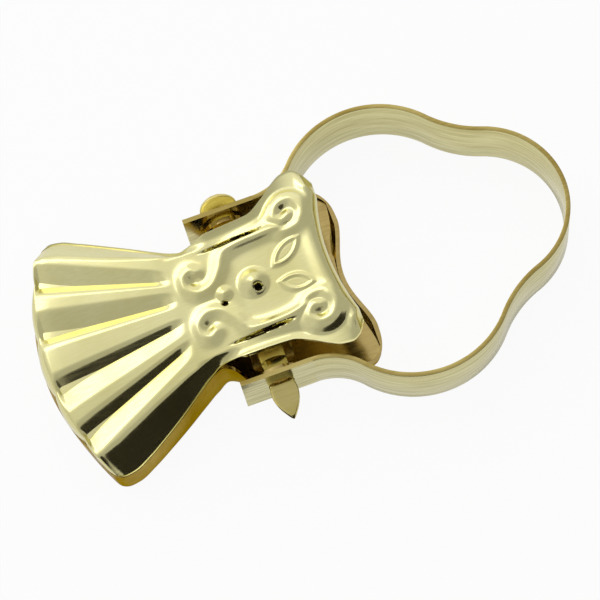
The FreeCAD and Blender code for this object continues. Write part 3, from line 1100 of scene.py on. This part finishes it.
@dataclass
class RingStrip:
    """The ring: a flat strip on edge, bent to three lobes, with a pivot hole in each leg."""

    pivot: Pivot
    reach: float = 36.0
    tail: float = 4.2
    neck: float = 6.4
    lobe_x: float = 16.6
    lobe_y: float = 5.4
    lobe: float = 10.4
    notch: float = 12.6
    far: float = 9.1
    edge_round: float = 0.04
    arc_samples: int = 70
    corner_samples: int = 4
    leg_rays: int = 96
    leg_rings: int = 10
    edge_facing: float = 0.7

    def arc(
        self, centre: np.ndarray, radius: float, start: np.ndarray, end: np.ndarray, inward: bool
    ) -> tuple[np.ndarray, np.ndarray]:
        """Samples of the shorter arc about a centre, from the angle of one point to that of another.

        Args:
            centre: middle of the arc.
            radius: its radius.
            start: point at whose angle it starts.
            end: point at whose angle it ends.
            inward: whether the ring's outside faces the centre.

        Returns:
            Points and outward directions in plan, one row each.
        """
        first = math.atan2(*(start - centre)[::-1])
        last = math.atan2(*(end - centre)[::-1])
        turn = (last - first + math.pi) % (2 * math.pi) - math.pi
        angle = first + turn * np.linspace(0.0, 1.0, self.arc_samples)
        way = np.stack([np.cos(angle), np.sin(angle)], axis=-1)
        return centre + radius * way, -way if inward else way

    def half_path(self) -> tuple[np.ndarray, np.ndarray]:
        """Middle line of half of the ring from its leg to the far end: arcs that run into each other.

        Two arcs touch on the line between their centres, which is how the neck's and the notch's are found.

        Returns:
            Points and outward directions in plan, one row each.
        """
        leg = self.pivot.strip_inside + self.pivot.strip_thick / 2
        lobe = np.array([self.lobe_x, self.lobe_y])
        far = np.array([self.reach - self.pivot.strip_thick / 2 - self.far, 0.0])
        neck_y = leg + self.neck
        run = math.sqrt((self.lobe + self.neck) ** 2 - (neck_y - self.lobe_y) ** 2)
        neck = np.array([self.lobe_x - run, neck_y])
        between = far - lobe
        span = np.linalg.norm(between)
        unit = between / span
        near = (self.lobe + self.notch) ** 2
        along = (near - (self.far + self.notch) ** 2 + span**2) / (2 * span)
        notch = lobe + unit * along + np.array([-unit[1], unit[0]]) * math.sqrt(near - along**2)
        stops = [
            np.array([neck[0], leg]), toward(lobe, neck, self.lobe), toward(lobe, notch, self.lobe),
            toward(far, notch, self.far), far + np.array([self.far, 0.0])]
        bends = [
            (neck, self.neck, True), (lobe, self.lobe, False), (notch, self.notch, True),
            (far, self.far, False)]
        points = []
        ways = []
        for (centre, radius, inward), first, last in zip(bends, stops, stops[1:]):
            arc_points, arc_ways = self.arc(centre, radius, first, last, inward)
            shared = 1 if points else 0
            points.append(arc_points[shared:])
            ways.append(arc_ways[shared:])
        return np.vstack(points), np.vstack(ways)

    def profile(self) -> np.ndarray:
        """Section of the strip: outward and upward offsets round a rectangle with small round corners.

        Returns:
            Offsets, one row each, corner after corner.
        """
        thick = self.pivot.strip_thick / 2 - self.edge_round
        tall = self.pivot.depth - self.edge_round
        angle = np.linspace(0.0, math.pi / 2, self.corner_samples)
        corner = self.edge_round * np.stack([np.cos(angle), np.sin(angle)], axis=-1)
        parts = []
        for quarter, (sign_x, sign_z) in enumerate(((1, 1), (-1, 1), (-1, -1), (1, -1))):
            turn = quarter * math.pi / 2
            spin = np.array([[math.cos(turn), math.sin(turn)], [-math.sin(turn), math.cos(turn)]])
            parts.append(corner @ spin + np.array([sign_x * thick, sign_z * tall]))
        return np.vstack(parts)

    def build(self, origin: Vector, material: bpy.types.Material) -> bpy.types.Object:
        """Build and dress the ring: the section carried along the path, and a plate with a hole for each leg.

        Args:
            origin: the pivot's place in the frame.
            material: its finish.

        Returns:
            The piece, riding on the ring body.
        """
        points, ways = self.half_path()
        leg_end = points[0][0]
        mirror = np.array([1.0, -1.0])
        path = np.vstack([points, points[-2::-1] * mirror])
        out = np.vstack([ways, ways[-2::-1] * mirror])
        section = self.profile()
        flat = path[:, None, :] + out[:, None, :] * section[None, :, :1]
        high = np.broadcast_to(section[None, :, 1:], flat.shape[:2] + (1,))
        parts = MeshParts()
        parts.add_grid(np.concatenate([flat, high], axis=-1), closed=True)
        tall = self.pivot.depth
        angles = ray_angles(self.leg_rays, [(x, z) for x in (leg_end, -self.tail) for z in (tall, -tall)])
        run = np.where(np.cos(angles) > 0, leg_end, self.tail)
        reach_x = run / np.maximum(np.abs(np.cos(angles)), LEAST_DIVISOR)
        reach_z = tall / np.maximum(np.abs(np.sin(angles)), LEAST_DIVISOR)
        edge = np.minimum(reach_x, reach_z)
        thick = self.pivot.strip_thick
        for low in (self.pivot.strip_inside, -self.pivot.strip_inside - thick):
            for grid in plate_with_hole(self.pivot.hole, edge, angles, low, low + thick, self.leg_rings):
                parts.add_grid(grid, closed=True)
        piece = parts.build("ring_strip_band", origin)
        dress(piece, material, Body.RING, "ring_strip")
        # Painted shade: the faces that point up or down, the strip's narrow edges, take the darker brass
        paint_faces(piece, STRIP_EDGE_SHADE, "normal", lambda rows: np.abs(rows[:, 2]) > self.edge_facing)
        return piece


@dataclass
class PivotBar:
    """Flat bar through ears and legs: a pointed leaf at one end, a round tab bent up at the other."""

    pivot: Pivot
    leaf: float = 3.9
    leaf_half: float = 1.5
    leaf_root: float = 0.36
    leaf_power: float = 0.9
    leaf_spacing: float = 1.4
    droop: float = 11.0
    tab: float = 2.5
    tab_half: float = 2.1
    tab_shoulder: float = 0.35
    tab_neck: tuple = (-0.3, 0.25)
    tab_spacing: float = 0.7
    lift: float = 50.0
    bend: float = 0.5
    tip_half: float = 0.02
    thin_half: float = 0.25
    section_power: float = 0.45
    section_samples: int = 32
    end_rows: int = 40
    bar_rows: int = 60

    def half_width(self, s: np.ndarray) -> np.ndarray:
        """Half width along the bar: even between the bends, a sine's arch on the leaf, round on the tab.

        Args:
            s: places along the bar's own line, from the leaf to the tab.

        Returns:
            Half widths at those places.
        """
        out = self.pivot.bar_out
        leaf = np.clip((-s - out) / self.leaf, 0.0, 1.0)
        tab = np.clip((s - out) / self.tab, 0.0, 1.0)
        arch = np.sin(math.pi * (self.leaf_root + (1.0 - self.leaf_root) * leaf)) ** self.leaf_power
        past = np.maximum(tab - self.tab_shoulder, 0.0) / (1.0 - self.tab_shoulder)
        rounded = np.sqrt(np.clip(1.0 - past**2, 0.0, 1.0)) * smooth_step(*self.tab_neck, tab)
        half = np.full_like(s, self.pivot.bar_half)
        half = np.where(leaf > 0, np.maximum(self.leaf_half * arch, self.tip_half), half)
        return np.where(tab > 0, np.maximum(self.tab_half * rounded, self.tip_half), half)

    def build(self, origin: Vector, material: bpy.types.Material) -> bpy.types.Object:
        """Build and dress the bar: a rounded section carried along a line that bends at both ends.

        Args:
            origin: the pivot's place in the frame.
            material: its finish.

        Returns:
            The piece, riding on the back body.
        """
        out = self.pivot.bar_out
        leaf_run = self.leaf * np.linspace(1.0, 0.0, self.end_rows) ** self.leaf_spacing
        tab_run = self.tab * np.linspace(0.0, 1.0, self.end_rows)[1:] ** self.tab_spacing
        s = np.concatenate([-out - leaf_run, np.linspace(-out, out, self.bar_rows)[1:], out + tab_run])
        droop = math.radians(self.droop) * smooth_step(-out + self.bend, -out - self.bend, s)
        lift = math.radians(self.lift) * smooth_step(out - self.bend, out + self.bend, s)
        step = np.diff(s, prepend=s[0])
        y = np.cumsum(step * np.cos(droop + lift))
        z = np.cumsum(step * np.sin(droop + lift))
        middle = np.argmin(np.abs(s))
        y = (y - y[middle])[:, None]
        z = (z - z[middle])[:, None]
        slope = (lift - droop)[:, None]
        half = self.half_width(s)[:, None]
        around = np.linspace(0.0, 2 * math.pi, self.section_samples, endpoint=False)
        across = np.sign(np.cos(around)) * np.abs(np.cos(around)) ** self.section_power
        upward = np.sign(np.sin(around)) * np.abs(np.sin(around)) ** self.section_power
        rise = upward * self.pivot.bar_thick / 2 * np.minimum(1.0, half / self.thin_half)
        parts = MeshParts()
        parts.add_tube(np.stack([half * across, y - rise * np.sin(slope), z + rise * np.cos(slope)], axis=-1))
        piece = parts.build("pivot_bar_leaf", origin)
        return dress(piece, material, Body.BACK, "pivot_bar")


@dataclass
class TorsionSpring:
    """Coil of round wire on the bar, with one leg inside each head plate."""

    pivot: Pivot
    wire: float = 0.3
    coil_clear: float = 0.15
    turns: int = 2
    pitch_share: float = 1.15
    leg: float = 7.0
    leg_gap: float = 0.05
    panel: float = 4.5
    panel_rise: float = 0.12
    turn_samples: int = 40
    leg_samples: int = 14
    wire_samples: int = 14

    def leg_angle(self, room: float, coil: float) -> float:
        """Angle of a straight leg, tangent to the coil, whose end lies room away from the pivot's plane."""
        return math.asin(room / math.hypot(coil, self.leg)) - math.atan2(coil, self.leg)

    def build(self, origin: Vector, material: bpy.types.Material) -> bpy.types.Object:
        """Build and dress the spring: a circle carried along leg, helix and leg.

        Args:
            origin: the pivot's place in the frame.
            material: its finish.

        Returns:
            The piece, which sits between the back and the front body and is attached to neither.
        """
        coil = self.pivot.bar_half + self.coil_clear + self.wire
        tilt = math.atan(self.panel_rise)
        front_room = (self.panel - self.pivot.sheet) * math.cos(tilt) - self.wire - self.leg_gap
        back_room = self.pivot.depth - self.pivot.sheet - self.wire - self.leg_gap
        lift = tilt + self.leg_angle(front_room, coil)
        drop = self.leg_angle(back_room, coil)
        sweep = 2 * math.pi * (self.turns + 0.5) - (lift + drop)
        length = 2 * self.wire * self.pitch_share * sweep / (2 * math.pi)
        turn = np.linspace(0.0, sweep, int(self.turn_samples * (self.turns + 0.5)))
        angle = -math.pi / 2 - drop - turn
        along = -length / 2 + length * turn / sweep
        helix = np.stack([coil * np.cos(angle), along, coil * np.sin(angle)], axis=-1)
        run = np.linspace(self.leg, 0.0, self.leg_samples)[:-1, None]
        back_leg = helix[0] + run * np.array([math.cos(drop), 0.0, -math.sin(drop)])
        front_leg = helix[-1] + run[::-1] * np.array([math.cos(lift), 0.0, math.sin(lift)])
        path = np.vstack([back_leg, helix, front_leg])
        tangent = np.gradient(path, axis=0)
        tangent /= np.linalg.norm(tangent, axis=1, keepdims=True)
        side = np.array([0.0, 1.0, 0.0]) - tangent * tangent[:, 1:2]
        side /= np.linalg.norm(side, axis=1, keepdims=True)
        radial = np.cross(tangent, side)
        around = np.linspace(0.0, 2 * math.pi, self.wire_samples, endpoint=False)[None, :, None]
        ring = np.cos(around) * side[:, None] + np.sin(around) * radial[:, None]
        parts = MeshParts()
        parts.add_tube(path[:, None, :] + self.wire * ring)
        piece = parts.build("torsion_spring_wire", origin)
        piece.data.materials.append(material)
        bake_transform(piece)
        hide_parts("torsion_spring")
        return piece


# Stage, light and camera


@dataclass(frozen=True)
class Glow:
    """A soft patch of the room: its direction, the angles at which it is full and gone, and its gain."""

    direction: tuple
    full: float
    gone: float
    gain: float


@dataclass
class Studio:
    """White table, soft light and the photograph's camera."""

    floor_z: float = -3.5
    floor_half: float = 900.0
    paper: str = "#F4F4F2"
    white: str = "#FFFFFF"
    white_seen: float = 0.93
    white_mirrored: float = 0.55
    azimuth: float = -6.69
    elevation: float = 69.25
    roll: float = -13.31
    distance: float = 237.34
    near_clip: float = 5.0
    focal_pixels: float = 2200.0
    image_pixels: float = 600.0
    sensor: float = 36.0
    aim: tuple = (4.92, -1.85, 0.0)
    lamp_place: tuple = (-120.0, 220.0, 200.0)
    lamp_size: float = 200.0
    lamp_radiance: float = 1.1
    # A dark sheet seen only in mirrored rays: painted dark reflection standing in for the room's shaded side
    shade_sheet_near: tuple = ((-26.0, -20.5), (-4.0, -12.2))
    shade_sheet_far: tuple = ((-110.0, -300.0), (260.0, -150.0))
    shade_sheet_lift: float = 0.05
    shade_sheet_height: float = 290.0
    shade_sheet_colour: str = "#1E190F"
    shade_sheet_roughness: float = 0.9
    room_level: float = 0.5
    glows: tuple = (
        Glow((-0.1, 0.9, 0.42), 22.0, 62.0, 0.52),
        Glow((-0.8, 0.2, 0.55), 15.0, 50.0, 0.2),
        Glow((0.45, -0.87, 0.2), 12.0, 40.0, -0.45),
    )

    def place_camera(self, origin: Vector) -> None:
        """Set the camera at the photograph's angle, distance and roll.

        Args:
            origin: the pivot's place in the frame.
        """
        azimuth, elevation, roll = (math.radians(a) for a in (self.azimuth, self.elevation, self.roll))
        level = math.cos(elevation)
        back = Vector((math.sin(azimuth) * level, -math.cos(azimuth) * level, math.sin(elevation)))
        right = Vector((math.cos(azimuth), math.sin(azimuth), 0.0))
        up = back.cross(right)
        right_rolled = right * math.cos(roll) + up * math.sin(roll)
        up_rolled = up * math.cos(roll) - right * math.sin(roll)
        place = Vector(self.aim) * MM + origin + back * self.distance * MM
        data = bpy.data.cameras.new("camera")
        data.sensor_width = self.sensor
        data.lens = self.focal_pixels / self.image_pixels * self.sensor
        data.clip_start = self.near_clip * MM
        camera = bpy.data.objects.new("camera", data)
        turn = Matrix((right_rolled, up_rolled, back)).transposed()
        camera.matrix_world = Matrix.Translation(place) @ turn.to_4x4()
        bpy.context.scene.collection.objects.link(camera)
        bpy.context.scene.camera = camera

    def lay_floor(self) -> None:
        """Lay a white table that shows the object's soft shadow."""
        half = self.floor_half * MM
        z = self.floor_z * MM
        square = [(-half, -half, z), (half, -half, z), (half, half, z), (-half, half, z)]
        mesh = bpy.data.meshes.new("table")
        mesh.from_pydata(square, [], [(0, 1, 2, 3)])
        material, tree = empty_material("white_table")
        share = self.seen_share(tree)
        paper = add_node(tree, "ShaderNodeBsdfDiffuse", {"Color": linear(self.paper)})
        white = add_node(tree, "ShaderNodeEmission", {"Color": linear(self.white), "Strength": 1.0})
        mixed = add_node(
            tree, "ShaderNodeMixShader", {}, {0: share, 1: paper.outputs[0], 2: white.outputs[0]})
        add_node(tree, "ShaderNodeOutputMaterial", {}, {"Surface": mixed.outputs[0]})
        mesh.materials.append(material)
        floor = bpy.data.objects.new("table", mesh)
        bpy.context.scene.collection.objects.link(floor)

    def straight_rays(self, tree: bpy.types.NodeTree, path: bpy.types.Node) -> bpy.types.NodeSocket:
        """Tell rays that come straight from the camera or through glass from all others.

        Args:
            tree: the tree of the table's material or of the world.
            path: its Light Path node.

        Returns:
            The socket that gives 1 for such rays and 0 for others.
        """
        return add_node(
            tree, "ShaderNodeMath", {"operation": "MAXIMUM"},
            {0: path.outputs["Is Camera Ray"], 1: path.outputs["Is Transmission Ray"]}).outputs[0]

    def seen_share(self, tree: bpy.types.NodeTree) -> bpy.types.NodeSocket:
        """Share of plain white in the table: high for the camera's own rays, lower in mirrored ones.

        Args:
            tree: the table material's tree.

        Returns:
            The socket that gives the share.
        """
        path = add_node(tree, "ShaderNodeLightPath")
        shares = []
        for rays, share in (
            (self.straight_rays(tree, path), self.white_seen),
            (path.outputs["Is Glossy Ray"], self.white_mirrored),
        ):
            scaled = add_node(tree, "ShaderNodeMath", {"operation": "MULTIPLY", 1: share}, {0: rays})
            shares.append(scaled.outputs[0])
        return add_node(
            tree, "ShaderNodeMath", {"operation": "MAXIMUM"}, {0: shares[0], 1: shares[1]}).outputs[0]

    def light(self, origin: Vector) -> None:
        """Paint the room's soft light on the world, hang one lamp for the shadow and lay the dark sheet that
        paints shade into reflections.

        Args:
            origin: the pivot's place in the frame.
        """
        world = bpy.data.worlds.new("surround")
        bpy.context.scene.world = world
        world.use_nodes = True
        tree = world.node_tree
        tree.nodes.clear()
        path = add_node(tree, "ShaderNodeLightPath")
        place = add_node(tree, "ShaderNodeTexCoord").outputs["Generated"]
        total = add_node(tree, "ShaderNodeValue").outputs[0]
        total.default_value = self.room_level
        for glow in self.glows:
            toward_glow = Vector(glow.direction).normalized()
            facing = add_node(
                tree, "ShaderNodeVectorMath", {"operation": "DOT_PRODUCT", 1: toward_glow}, {0: place})
            share = add_node(
                tree, "ShaderNodeMapRange",
                {"interpolation_type": "SMOOTHSTEP", "From Min": math.cos(math.radians(glow.gone)),
                 "From Max": math.cos(math.radians(glow.full)), "To Min": 0.0, "To Max": glow.gain},
                {"Value": facing.outputs["Value"]})
            total = add_node(
                tree, "ShaderNodeMath", {"operation": "ADD"}, {0: total, 1: share.outputs[0]}).outputs[0]
        room = add_node(tree, "ShaderNodeBackground", {"Color": linear(self.white)}, {"Strength": total})
        white = add_node(tree, "ShaderNodeBackground", {"Color": linear(self.white), "Strength": 1.0})
        mixed = add_node(
            tree, "ShaderNodeMixShader", {},
            {0: self.straight_rays(tree, path), 1: room.outputs[0], 2: white.outputs[0]})
        add_node(tree, "ShaderNodeOutputWorld", {}, {"Surface": mixed.outputs[0]})
        self.hang_lamp(origin)
        self.lay_shade_sheet(origin)

    def hang_lamp(self, origin: Vector) -> None:
        """Hang one square soft lamp that faces the clip.

        Args:
            origin: the pivot's place in the frame.
        """
        data = bpy.data.lights.new("key_panel", "AREA")
        data.size = self.lamp_size * MM
        # A lamp's power is its radiance times pi times its area
        data.energy = self.lamp_radiance * math.pi * (self.lamp_size * MM) ** 2
        lamp = bpy.data.objects.new("key_panel", data)
        lamp.location = Vector(self.lamp_place) * MM + origin
        lamp.rotation_euler = (origin - lamp.location).to_track_quat("-Z", "Y").to_euler()
        bpy.context.scene.collection.objects.link(lamp)

    def lay_shade_sheet(self, origin: Vector) -> None:
        """Lay a dark sheet beside the fan and stand its far part up, seen only in reflections: a painted dark
        reflection in place of the room's shaded side.

        Args:
            origin: the pivot's place in the frame.
        """
        low = self.floor_z + self.shade_sheet_lift
        lying = [(x, y, low) for x, y in self.shade_sheet_near + self.shade_sheet_far]
        standing = [(x, y, low + self.shade_sheet_height) for x, y in self.shade_sheet_far]
        points = [Vector(point) * MM + origin for point in lying + standing]
        mesh = bpy.data.meshes.new("mirrored_shade_sheet")
        mesh.from_pydata(points, [], [(0, 1, 3, 2), (2, 3, 5, 4)])
        material = bpy.data.materials.new("mirrored_shade_sheet")
        material.use_nodes = True
        shader = material.node_tree.nodes["Principled BSDF"]
        shader.inputs["Base Color"].default_value = linear(self.shade_sheet_colour)
        shader.inputs["Roughness"].default_value = self.shade_sheet_roughness
        mesh.materials.append(material)
        shade_sheet = bpy.data.objects.new("mirrored_shade_sheet", mesh)
        bpy.context.scene.collection.objects.link(shade_sheet)
        shade_sheet.visible_camera = False
        shade_sheet.visible_shadow = False
        shade_sheet.visible_diffuse = False


def corners(bounds: tuple) -> list[list[float]]:
    """Two corners as plain lists."""
    return [[float(value) for value in corner] for corner in bounds]


def main() -> None:
    """Build every piece around the frame, light it and report it."""
    logging.basicConfig(level=logging.INFO, format="%(message)s")
    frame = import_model()
    hinge = next(joint for joint in frame["joints"] if joint["name"] == "jaw_hinge")
    origin = Vector(hinge["pos_m"])
    pivot = Pivot()
    mouth = FanMouth()
    # The back jaw takes the darker copy of the brass, which paints shade and reflection into its colour
    makers = [
        (FrontJaw(pivot, mouth), POLISHED), (BackJaw(pivot, mouth), BACK_SHADE), (RingStrip(pivot), DRAWN),
        (PivotBar(pivot), WARM), (TorsionSpring(pivot), SpringWire())]
    for maker, finish in makers:
        piece = maker.build(origin, finish.material())
        LOG.info("%s: %d faces", piece.name, len(piece.data.polygons))
    studio = Studio()
    studio.lay_floor()
    studio.light(origin)
    studio.place_camera(origin)
    bpy.context.scene.view_settings.view_transform = "Standard"


if __name__ == "__main__":
    main()
